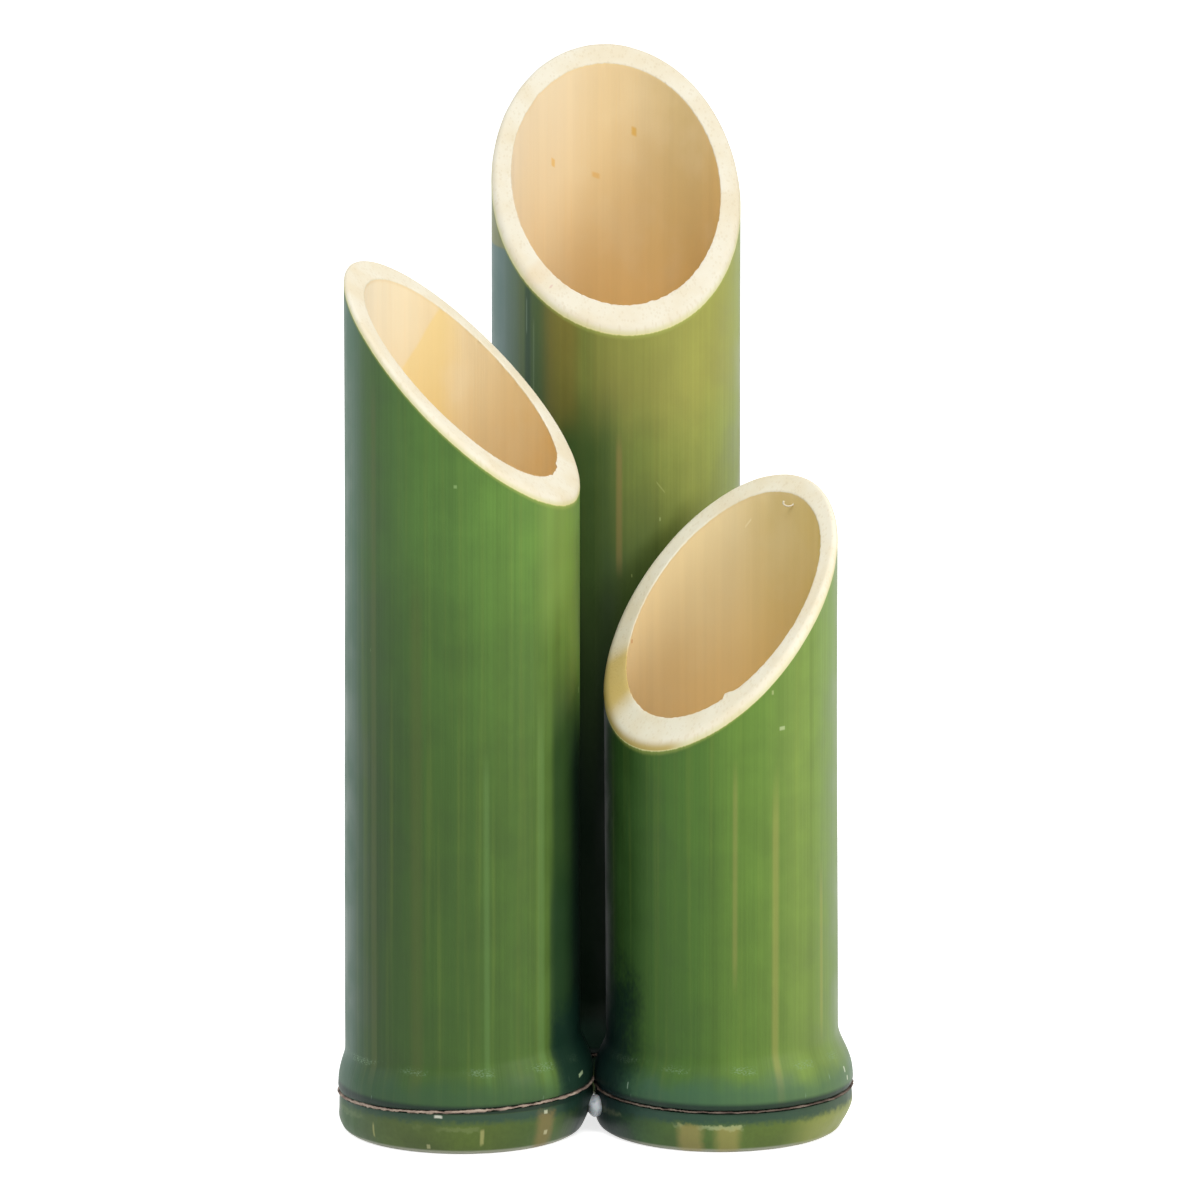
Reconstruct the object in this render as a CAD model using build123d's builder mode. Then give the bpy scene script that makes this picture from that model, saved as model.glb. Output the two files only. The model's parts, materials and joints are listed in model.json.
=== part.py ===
from build123d import *
from dataclasses import dataclass
import math
import os

# A bamboo vase: three green culms of different heights stand together, each with a slanted mouth.
# A node near the foot of each culm closes it below, so that it holds water, and the ring of culm
# left under the node is its foot. Dowels through the feet and beads of glue hold the three together.
# All lengths are in millimetres. X runs left to right, Y from the front to the back, Z up.
# The origin lies on the floor, in the middle of the whole vase.
# Mouth heights are measured on the culm's axis. Headings are in degrees, from +X towards +Y.
# A node's shift is how far its centre lies off the culm's axis.

# Left culm
left_radius = 45.0
left_wall = 8.6
left_node_flare = 3.9
left_node_shift = 1.2
left_node_heading = 0.0
left_mouth_height = 291.1
left_mouth_angle = 43.7
left_mouth_heading = 157.3

# Right culm, the shortest
right_radius = 44.3
right_wall = 7.6
right_node_flare = 5.2
right_node_shift = 0.5
right_node_heading = 0.0
right_mouth_height = 203.1
right_mouth_angle = 45.9
right_mouth_heading = 49.2

# Tall culm, at the back
tall_radius = 48.3
tall_wall = 8.0
tall_node_flare = 4.0
tall_node_shift = 1.2
tall_node_heading = 215.0
tall_mouth_height = 349.2
tall_mouth_angle = 45.2
tall_mouth_heading = 96.3

# How the culms stand: the right node all but touches the other two, the right culm stands a little
# behind the left one, and a wider gap parts the left and tall nodes
node_contact_gap = 0.2
right_set_back = 3.5
left_tall_gap = 10.5

# Node and foot, alike on all three culms
crest_height = 19.4
crest_lip = 0.5
flare_length = 24.0
flare_sink = 0.8
skirt_inset = 0.2
skirt_lip = 0.4
foot_inset = 2.6
bulge_height_share = 0.5

# Dried stub of the shed sheath, in its groove under the crest
sheath_drop = 3.0
sheath_thickness = 1.5
sheath_depth = 2.2
sheath_inset = 0.2
sheath_edge_round = 0.4
sheath_clearance = 0.05

# The natural wall across the culm at the node
septum_thickness = 5.0
septum_drop = 3.8
vessel_floor_round = 9.0
recess_round = 4.0

# Finish of the cut ends
rim_round = 1.5
rim_inner_round = 0.4
foot_edge_round = 0.5

# Dowels through the feet
dowel_radius = 3.0
dowel_clearance = 0.1
dowel_end = 2.0
dowel_chamfer = 0.5

# Glue between the feet: beads in the two narrow gaps, a bridge across the wide one
bead_low = 6.4
bead_height = 7.8
bead_front = 13.4
bead_back = 5.0
bridge_low = 2.4
bridge_height = 10.8
bridge_reach = 7.0
glue_round = 3.6
glue_bite = 3.5

# Cuts run this far past what they cut
overrun = 2.0

# The seams of the round faces lie at this heading, clear of the dowel holes and the mouths' tips
seam_heading = 20.0

# Heights that all three culms share
septum_low = crest_height - septum_drop
septum_top = septum_low + septum_thickness
sheath_middle = crest_height - sheath_drop
groove_low = sheath_middle - sheath_thickness / 2 - sheath_clearance
groove_top = sheath_middle + sheath_thickness / 2 + sheath_clearance
bulge_height = groove_low * bulge_height_share
flare_top = crest_height + flare_length
dowel_height = septum_low / 2


def heading_vector(heading):
    """The level direction of a heading."""
    return Vector(math.cos(math.radians(heading)), math.sin(math.radians(heading)), 0)


def raised(point, height):
    """A point straight above another."""
    return point + Vector(0, 0, height)


@dataclass
class Culm:
    """One culm's own sizes, and where it stands."""

    radius: float
    wall: float
    node_flare: float
    node_shift: float
    node_heading: float
    mouth_height: float
    mouth_angle: float
    mouth_heading: float
    axis: Vector = None

    @property
    def bore(self):
        return self.radius - self.wall

    @property
    def node_radius(self):
        return self.radius + self.node_flare

    @property
    def skirt_radius(self):
        return self.node_radius - skirt_inset

    @property
    def shift(self):
        return heading_vector(self.node_heading) * self.node_shift

    @property
    def node_centre(self):
        return self.axis + self.shift


left = Culm(
    left_radius,
    left_wall,
    left_node_flare,
    left_node_shift,
    left_node_heading,
    left_mouth_height,
    left_mouth_angle,
    left_mouth_heading,
)
right = Culm(
    right_radius,
    right_wall,
    right_node_flare,
    right_node_shift,
    right_node_heading,
    right_mouth_height,
    right_mouth_angle,
    right_mouth_heading,
)
tall = Culm(
    tall_radius,
    tall_wall,
    tall_node_flare,
    tall_node_shift,
    tall_node_heading,
    tall_mouth_height,
    tall_mouth_angle,
    tall_mouth_heading,
)


def centre_distance(first, second, gap):
    """How far apart two nodes' centres are with a gap between the nodes."""
    return first.node_radius + gap + second.node_radius


# Places of the axes, first from the left culm's axis, then from the middle of the vase.
# The nodes' centres are the corners of a triangle whose three sides are known.
left_to_right = centre_distance(left, right, node_contact_gap)
left_to_tall = centre_distance(left, tall, left_tall_gap)
right_to_tall = centre_distance(right, tall, node_contact_gap)
right_back = right_set_back + right.shift.Y - left.shift.Y
rightwards = Vector(math.sqrt(left_to_right**2 - right_back**2), right_back, 0).normalized()
backwards = Vector(0, 0, 1).cross(rightwards)
tall_along = (left_to_right**2 + left_to_tall**2 - right_to_tall**2) / (2 * left_to_right)
tall_back = math.sqrt(left_to_tall**2 - tall_along**2)
left.axis = Vector(0, 0, 0)
right.axis = left.shift + rightwards * left_to_right - right.shift
tall.axis = left.shift + rightwards * tall_along + backwards * tall_back - tall.shift
culms = (left, right, tall)
leftmost = min(culm.node_centre.X - culm.node_radius for culm in culms)
rightmost = max(culm.node_centre.X + culm.node_radius for culm in culms)
frontmost = min(culm.node_centre.Y - culm.node_radius for culm in culms)
backmost = max(culm.node_centre.Y + culm.node_radius for culm in culms)
middle = Vector((leftmost + rightmost) / 2, (frontmost + backmost) / 2, 0)
for culm in culms:
    culm.axis = culm.axis - middle


def direction(start, end):
    """The level direction from one node's centre to another's."""
    return (end.node_centre - start.node_centre).normalized()


def recess_reach(culm, along):
    """How far the wall of the foot's recess lies from the node's centre in one direction."""
    slip = culm.shift.dot(along)
    return math.sqrt(culm.bore**2 - culm.node_shift**2 + slip**2) - slip


def profile_plane(centre):
    """An upright plane through a centre, with its x outwards along the seam's heading and its y up."""
    outwards = heading_vector(seam_heading)
    return Plane(origin=centre, x_dir=outwards, z_dir=outwards.cross(Vector(0, 0, 1)))


def level_plane(centre, height):
    """A level plane at a height, with its x along the seam's heading."""
    return Plane(origin=raised(centre, height), x_dir=heading_vector(seam_heading), z_dir=(0, 0, 1))


def upright(centre):
    """The upright line through a centre."""
    return Axis(centre, (0, 0, 1))


def make_culm(culm, neighbours):
    """A tube with a node, a septum and a foot, cut aslant at the top."""
    bore = culm.bore
    lean = math.radians(culm.mouth_angle)
    blank_top = culm.mouth_height + culm.radius * math.tan(lean) + overrun

    # Corners of the node and foot, from the floor up
    foot = (culm.skirt_radius - foot_inset, 0)
    bulge = (culm.skirt_radius, bulge_height)
    skirt_end = (culm.skirt_radius - skirt_lip, groove_low)
    groove_floor = culm.node_radius - sheath_depth - sheath_clearance
    groove_corner_low = (groove_floor, groove_low)
    groove_corner_top = (groove_floor, groove_top)
    crest_start = (culm.node_radius - crest_lip, groove_top)
    crest = (culm.node_radius, crest_height)
    flare_end = (culm.radius - culm.node_shift - flare_sink, flare_top)

    # Corners of the vessel above the septum and of the recess below it
    vessel_wall_end = (bore, septum_top + vessel_floor_round)
    vessel_floor_start = (bore - vessel_floor_round, septum_top)
    recess_roof_end = (bore - recess_round, septum_low)
    recess_wall_end = (bore, septum_low - recess_round)

    with BuildPart() as part:
        with BuildSketch(profile_plane(culm.node_centre)):
            with BuildLine():
                Line((0, 0), foot)
                Spline(foot, bulge, tangents=((1, 1), (0, 1)))
                Spline(bulge, skirt_end, tangents=((0, 1), (-1, 2)))
                Polyline(skirt_end, groove_corner_low, groove_corner_top, crest_start)
                Spline(crest_start, crest, tangents=((1, 2), (0, 1)))
                Spline(crest, flare_end, tangents=((0, 1), (0, 1)))
                Polyline(flare_end, (0, flare_top), (0, 0))
            make_face()
        revolve(axis=upright(culm.node_centre))

        with BuildSketch(level_plane(culm.axis, crest_height)):
            Circle(culm.radius)
        extrude(amount=blank_top - crest_height)

        with BuildSketch(profile_plane(culm.axis)):
            with BuildLine():
                Polyline((0, septum_top), (0, blank_top + overrun), (bore, blank_top + overrun), vessel_wall_end)
                RadiusArc(vessel_wall_end, vessel_floor_start, vessel_floor_round)
                Line(vessel_floor_start, (0, septum_top))
            make_face()
            with BuildLine():
                Polyline((0, septum_low), (0, -overrun), (bore, -overrun), recess_wall_end)
                RadiusArc(recess_wall_end, recess_roof_end, -recess_round)
                Line(recess_roof_end, (0, septum_low))
            make_face()
        revolve(axis=upright(culm.axis), mode=Mode.SUBTRACT)

        # The mouth: one straight slanting cut, highest on the side that it is headed to
        tilt = heading_vector(culm.mouth_heading) * -math.sin(lean)
        mouth_plane = Plane(origin=raised(culm.axis, culm.mouth_height), z_dir=raised(tilt, math.cos(lean)))
        split(bisect_by=mouth_plane, keep=Keep.BOTTOM)
        mouth_face = part.faces().filter_by(GeomType.PLANE).sort_by(Axis.Z)[-1]
        fillet(mouth_face.outer_wire().edges(), radius=rim_round)
        mouth_face = part.faces().filter_by(GeomType.PLANE).sort_by(Axis.Z)[-1]
        fillet(mouth_face.inner_wires()[0].edges(), radius=rim_inner_round)

        # The foot's sawn edge, eased inside and out
        foot_face = part.faces().filter_by(GeomType.PLANE).sort_by(Axis.Z)[0]
        chamfer(foot_face.edges(), length=foot_edge_round)

        # A dowel hole through the foot's wall towards each neighbour
        for neighbour in neighbours:
            hole_start = raised(culm.node_centre, dowel_height)
            with BuildSketch(Plane(origin=hole_start, z_dir=direction(culm, neighbour))):
                Circle(dowel_radius + dowel_clearance)
            extrude(amount=culm.node_radius + overrun, mode=Mode.SUBTRACT)
    return part.part


def make_sheath_stub(culm):
    """The dried ring that the shed sheath leaves, lying in the groove under the crest."""
    inner_radius = culm.node_radius - sheath_depth
    outer_radius = culm.node_radius - sheath_inset
    with BuildPart() as stub:
        with BuildSketch(profile_plane(culm.node_centre)):
            with Locations(((inner_radius + outer_radius) / 2, sheath_middle)):
                Rectangle(outer_radius - inner_radius, sheath_thickness)
        revolve(axis=upright(culm.node_centre))
        rim_edges = stub.edges().filter_by(GeomType.CIRCLE).group_by(SortBy.RADIUS)[-1]
        fillet(rim_edges, radius=sheath_edge_round)
    return stub.part


def make_dowel(start, end):
    """A round dowel through two feet, whose ends stand a little way into the two recesses."""
    along = direction(start, end)
    start_reach = recess_reach(start, along) - dowel_end
    end_reach = recess_reach(end, -along) - dowel_end
    start_point = raised(start.node_centre + along * start_reach, dowel_height)
    with BuildPart() as dowel:
        with BuildSketch(Plane(origin=start_point, z_dir=along)):
            Circle(dowel_radius)
        extrude(amount=(end.node_centre - start.node_centre).length - start_reach - end_reach)
        chamfer(dowel.edges().filter_by(GeomType.CIRCLE), length=dowel_chamfer)
    return dowel.part


def make_glue(start, end, walls, low, height, front, back):
    """Glue between two feet, round their dowel, shaped by the walls that it sticks to."""
    along = direction(start, end)
    outwards = along.cross(Vector(0, 0, 1))
    reach = (end.node_centre - start.node_centre).length
    gap = reach - start.skirt_radius - end.skirt_radius
    gap_middle = start.node_centre + along * (start.skirt_radius + gap / 2) + outwards * ((front - back) / 2)
    with BuildPart() as glue:
        with BuildSketch(Plane(origin=raised(gap_middle, low + height / 2), x_dir=outwards, z_dir=along)):
            RectangleRounded(front + back, height, glue_round)
        extrude(amount=gap / 2 + glue_bite, both=True)
        for wall in walls:
            add(wall, mode=Mode.SUBTRACT)
        with BuildSketch(Plane(origin=raised(start.node_centre, dowel_height), z_dir=along)):
            Circle(dowel_radius + dowel_clearance)
        extrude(amount=reach, mode=Mode.SUBTRACT)
    return glue.part


left_culm = make_culm(left, (right, tall))
right_culm = make_culm(right, (left, tall))
tall_culm = make_culm(tall, (left, right))

pieces = {
    "left_culm": left_culm,
    "right_culm": right_culm,
    "tall_culm": tall_culm,
    "left_sheath_stub": make_sheath_stub(left),
    "right_sheath_stub": make_sheath_stub(right),
    "tall_sheath_stub": make_sheath_stub(tall),
    "left_right_dowel": make_dowel(left, right),
    "left_tall_dowel": make_dowel(left, tall),
    "right_tall_dowel": make_dowel(right, tall),
    "left_right_glue": make_glue(left, right, (left_culm, right_culm), bead_low, bead_height, bead_front, bead_back),
    "right_tall_glue": make_glue(right, tall, (right_culm, tall_culm), bead_low, bead_height, bead_front, bead_back),
    "left_tall_glue": make_glue(
        left, tall, (left_culm, tall_culm), bridge_low, bridge_height, bridge_reach, bridge_reach
    ),
}

os.makedirs("parts", exist_ok=True)
for name, piece in pieces.items():
    piece.label = name
    export_step(piece, f"parts/{name}.step")
    size = piece.bounding_box().size
    print(name, "volume", round(piece.volume, 1), "size", round(size.X, 2), round(size.Y, 2), round(size.Z, 2))
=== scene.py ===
import json
import math

import bmesh
import bpy
from mathutils import Matrix, Vector, noise


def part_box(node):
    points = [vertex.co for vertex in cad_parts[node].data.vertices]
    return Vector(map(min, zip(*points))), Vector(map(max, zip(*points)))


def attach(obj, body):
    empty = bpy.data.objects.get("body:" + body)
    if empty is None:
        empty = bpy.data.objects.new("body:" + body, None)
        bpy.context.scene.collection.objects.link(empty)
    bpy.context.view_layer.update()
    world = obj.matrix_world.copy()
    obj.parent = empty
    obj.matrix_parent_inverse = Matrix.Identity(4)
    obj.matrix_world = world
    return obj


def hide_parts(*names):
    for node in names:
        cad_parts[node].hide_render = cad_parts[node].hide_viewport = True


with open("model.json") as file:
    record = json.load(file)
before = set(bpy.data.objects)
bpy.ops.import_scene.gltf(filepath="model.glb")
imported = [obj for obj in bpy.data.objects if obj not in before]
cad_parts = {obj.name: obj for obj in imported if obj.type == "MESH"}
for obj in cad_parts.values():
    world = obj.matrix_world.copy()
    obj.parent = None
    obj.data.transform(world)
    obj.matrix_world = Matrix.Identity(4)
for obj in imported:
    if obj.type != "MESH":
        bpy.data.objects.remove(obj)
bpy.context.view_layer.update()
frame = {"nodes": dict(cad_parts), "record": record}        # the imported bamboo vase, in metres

# Bamboo vase: three green culms with slanted mouths, standing on their foot nodes.
# A turn is a place round a culm: 0 at the back, 0.25 left, 0.5 front and 0.75 right.

scene = bpy.context.scene
mounts = {mount["name"]: mount for mount in frame["record"]["mounts"]}


def colour(red, green, blue):  # a colour as it looks on screen, 0 to 255, made linear
    shares = [value / 255 for value in (red, green, blue)]
    linear = [s / 12.92 if s <= 0.04045 else ((s + 0.055) / 1.055) ** 2.4 for s in shares]
    return (*linear, 1.0)


def grey(value):
    return (value, value, value, 1.0)


def smooth(low, high, value):
    share = min(max((value - low) / (high - low), 0.0), 1.0)
    return share * share * (3 - 2 * share)


def turnOf(x, y):
    return math.atan2(-x, y) / math.tau % 1.0


def spinRound(mesh, geom, steps):  # a full turn about the upright axis, closed
    bmesh.ops.spin(
        mesh, geom=geom, cent=(0, 0, 0), axis=(0, 0, 1), angle=math.tau, steps=steps, use_merge=True,
    )
    bmesh.ops.remove_doubles(mesh, verts=mesh.verts, dist=1e-7)


def finishPiece(mesh, name, materials, node=None):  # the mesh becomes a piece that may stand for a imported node
    for face in mesh.faces:
        face.smooth = True
    data = bpy.data.meshes.new(name + "Mesh")
    mesh.to_mesh(data)
    mesh.free()
    for material in materials:
        data.materials.append(material)
    piece = bpy.data.objects.new(name, data)
    scene.collection.objects.link(piece)
    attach(piece, "root")
    if node:
        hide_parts(node)
    print("made", name, len(data.polygons), "faces")


# Camera, at the photograph's angle; places are counted from the left culm's axis

cameraView = {
    "lens": 330.6, "sensor": 36.0, "clipEnd": 60.0, "pitch": 11.57,
    "right": 0.0515, "back": -4.073, "height": 1.0399,
}


def makeCamera():
    view = cameraView
    lens = bpy.data.cameras.new("studioCamera")
    lens.sensor_width, lens.lens, lens.clip_end = view["sensor"], view["lens"], view["clipEnd"]
    camera = bpy.data.objects.new("studioCamera", lens)
    leftX, leftY, _ = mounts["left_vessel"]["pos_m"]
    camera.location = (leftX + view["right"], leftY + view["back"], view["height"])
    camera.rotation_euler = (math.radians(90 - view["pitch"]), 0, 0)
    scene.collection.objects.link(camera)
    scene.camera = camera


# Shader helpers

def addNode(tree, kind, inputs=None, **settings):
    node = tree.nodes.new(kind)
    for key, value in settings.items():
        setattr(node, key, value)
    for key, value in (inputs or {}).items():
        feed(tree, value, node.inputs[key])
    return node


def feed(tree, value, socket):
    if isinstance(value, bpy.types.NodeSocket):
        tree.links.new(value, socket)
    else:
        socket.default_value = value


def calc(tree, operation, first, second=0.0):
    return addNode(tree, "ShaderNodeMath", {0: first, 1: second}, operation=operation).outputs[0]


def times(tree, first, second):
    return calc(tree, "MULTIPLY", first, second)


def swayed(tree, value, by, amount):  # a value moved to and fro by a noise
    return calc(tree, "ADD", value, times(tree, calc(tree, "SUBTRACT", by, 0.5), amount))


def noiseAt(tree, place, scale, detail):
    return addNode(tree, "ShaderNodeTexNoise", {"Vector": place, "Scale": scale, "Detail": detail}).outputs[0]


def stretched(tree, place, scale):
    return addNode(tree, "ShaderNodeMapping", {"Vector": place, "Scale": scale}).outputs[0]


def fromMesh(tree, name):
    return addNode(tree, "ShaderNodeAttribute", attribute_name=name).outputs["Fac"]


def blendColour(tree, share, first, second):
    node = addNode(tree, "ShaderNodeMix", data_type="RGBA")
    for socket, value in ((node.inputs[0], share), (node.inputs[6], first), (node.inputs[7], second)):
        feed(tree, value, socket)
    return node.outputs[2]


def tint(tree, base, mask, strength, tone):  # a tone over the base where the mask is
    return blendColour(tree, times(tree, mask, strength), base, tone)


def band(tree, value, low, high, outLow=0.0, outHigh=1.0):
    node = addNode(tree, "ShaderNodeMapRange", interpolation_type="SMOOTHSTEP")
    for key, item in zip(range(5), (value, low, high, outLow, outHigh)):
        feed(tree, item, node.inputs[key])
    return node.outputs[0]


def ramp(tree, share, stops):
    node = addNode(tree, "ShaderNodeValToRGB", {0: share})
    node.color_ramp.interpolation = "EASE"
    while len(node.color_ramp.elements) < len(stops):
        node.color_ramp.elements.new(1.0)
    for element, (place, tone) in zip(node.color_ramp.elements, stops):
        element.position, element.color = place, tone
    return node.outputs[0]


def ringRamp(tree, turn, stops):  # ends with its first tone again
    return ramp(tree, turn, [*stops, (1.0, stops[0][1])])


def makeGroup(name, inputs, outputs):  # each socket with its value: a number, a colour, or None for a place
    group = bpy.data.node_groups.new(name, "ShaderNodeTree")
    for side, values in (("INPUT", inputs), ("OUTPUT", outputs)):
        for socketName, value in values.items():
            kind = "Vector" if value is None else "Float" if isinstance(value, float) else "Color"
            socket = group.interface.new_socket(socketName, in_out=side, socket_type="NodeSocket" + kind)
            if value is not None:
                socket.default_value = value
    start = group.nodes.new("NodeGroupInput")
    end = group.nodes.new("NodeGroupOutput")
    return group, start.outputs, end.inputs


def useGroup(tree, group, inputs):
    return addNode(tree, "ShaderNodeGroup", inputs, node_tree=group).outputs


def makeGrainGroup():  # fibres that run up the culm, broad and fine
    group, given, wanted = makeGroup(
        "fibreGrain", {"Vector": None, "Across": 400.0, "Along": 6.0, "Shift": 0.0},
        {"Broad": 0.0, "Fine": 0.0, "Height": 0.0},
    )
    stretch = addNode(group, "ShaderNodeCombineXYZ", {0: given["Across"], 1: given["Across"], 2: given["Along"]})
    spread = addNode(group, "ShaderNodeVectorMath", {0: given["Vector"], 1: stretch.outputs[0]}, operation="MULTIPLY")
    shifted = addNode(group, "ShaderNodeVectorMath", {0: spread.outputs[0], 1: given["Shift"]}, operation="ADD")
    broad = addNode(group, "ShaderNodeTexNoise", {"Vector": shifted.outputs[0], "Scale": 0.35, "Detail": 3.0})
    fine = addNode(group, "ShaderNodeTexNoise", {"Vector": shifted.outputs[0], "Scale": 2.2, "Detail": 4.0})
    feed(group, broad.outputs[0], wanted["Broad"])
    feed(group, fine.outputs[0], wanted["Fine"])
    height = calc(group, "ADD", times(group, broad.outputs[0], 0.5), fine.outputs[0])
    feed(group, height, wanted["Height"])
    return group


wrapRadius = 0.047  # about the culms' own, in metres


def makeWrapGroup():  # a place on an even cylinder, so that fibres follow the culm where it flares
    group, given, wanted = makeGroup("wrapVector", {"Turn": 0.0, "Height": 0.0}, {"Vector": None})
    angle = times(group, given["Turn"], math.tau)
    east = times(group, calc(group, "COSINE", angle), wrapRadius)
    north = times(group, calc(group, "SINE", angle), wrapRadius)
    place = addNode(group, "ShaderNodeCombineXYZ", {0: east, 1: north, 2: given["Height"]})
    feed(group, place.outputs[0], wanted["Vector"])
    return group


def makeShadeGroup():  # a colour made lighter or darker by one value
    group, given, wanted = makeGroup("toneShade", {"Color": grey(0.5), "Shade": 1.0}, {"Color": grey(0.0)})
    shaded = addNode(group, "ShaderNodeVectorMath", {0: given["Color"], "Scale": given["Shade"]}, operation="SCALE")
    feed(group, shaded.outputs[0], wanted["Color"])
    return group


def makePatchGroup():  # a soft-edged patch on the skin, by turn and height
    group, given, wanted = makeGroup("skinPatch", {
        "Turn": 0.5, "Height": 0.0, "Ragged": 0.5, "Middle": 0.5, "Half Width": 0.05, "Side Blur": 0.02,
        "Low": 0.0, "High": 0.1, "End Blur": 0.01, "Slope": 0.0,
    }, {"Mask": 0.0})
    away = calc(group, "SUBTRACT", given["Turn"], given["Middle"])
    torn = calc(group, "SUBTRACT", given["Ragged"], 0.5)
    lift = times(group, torn, times(group, given["End Blur"], 2.0))
    rise = calc(group, "ADD", calc(group, "SUBTRACT", given["Height"], times(group, away, given["Slope"])), lift)
    aside = calc(group, "ADD", calc(group, "ABSOLUTE", away), times(group, torn, given["Side Blur"]))
    half = given["Half Width"]
    side = band(group, aside, half, calc(group, "ADD", half, given["Side Blur"]), 1.0, 0.0)
    below = band(group, rise, calc(group, "SUBTRACT", given["Low"], given["End Blur"]), given["Low"])
    above = band(group, rise, given["High"], calc(group, "ADD", given["High"], given["End Blur"]), 1.0, 0.0)
    mask = times(group, times(group, below, above), side)
    feed(group, mask, wanted["Mask"])
    return group


def makeFleckGroup():  # small scattered flecks
    group, given, wanted = makeGroup(
        "fleckScatter", {"Vector": None, "Density": 120.0, "Size": 0.12, "Share": 0.3}, {"Mask": 0.0},
    )
    cells = addNode(group, "ShaderNodeTexVoronoi", {"Vector": given["Vector"], "Scale": given["Density"]})
    parts = addNode(group, "ShaderNodeSeparateColor", {0: cells.outputs["Color"]})
    chosen = calc(group, "LESS_THAN", parts.outputs[0], given["Share"])
    size = times(group, given["Size"], calc(group, "ADD", parts.outputs[1], 0.3))
    dot = band(group, cells.outputs["Distance"], times(group, size, 0.5), size, 1.0, 0.0)
    feed(group, times(group, chosen, dot), wanted["Mask"])
    return group


grainGroup, patchGroup, fleckGroup = makeGrainGroup(), makePatchGroup(), makeFleckGroup()
wrapGroup, shadeGroup = makeWrapGroup(), makeShadeGroup()


def newMaterial(name, settings):
    material = bpy.data.materials.new(name)
    material.use_nodes = True
    tree = material.node_tree
    shader = tree.nodes["Principled BSDF"]
    for key, value in settings.items():
        shader.inputs[key].default_value = value
    return material, tree, shader


def dress(tree, shader, base, rough, height, strength, distance):
    bump = addNode(tree, "ShaderNodeBump", {"Strength": strength, "Distance": distance, "Height": height}).outputs[0]
    for socketName, value in (("Base Color", base), ("Roughness", rough), ("Normal", bump)):
        tree.links.new(value, shader.inputs[socketName])


def objectPlace(tree, scale=(1, 1, 1)):
    return stretched(tree, addNode(tree, "ShaderNodeTexCoord").outputs["Object"], scale)


def wrapPlace(tree):  # turn and height from the culm's own map
    uv = addNode(tree, "ShaderNodeUVMap", uv_map="wrap").outputs[0]
    parts = addNode(tree, "ShaderNodeSeparateXYZ", {0: uv}).outputs
    return parts[0], parts[1], useGroup(tree, wrapGroup, {"Turn": parts[0], "Height": parts[1]})[0]


def shade(tree, base, value):
    return useGroup(tree, shadeGroup, {"Color": base, "Shade": value})[0]


# Green skin. Its tone by turn is the skin's own green with painted light over it: lighter where a culm faces the lamp
# on the right, darker where it turns away or faces a neighbour, and bluish grey down the left edges of the left and
# tall culms, a painted reflection. The climb makes each skin darker towards the bottom. Each mark is (turn, half
# width, low, high, side blur, end blur, colour, strength), then a slope if any.

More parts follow.
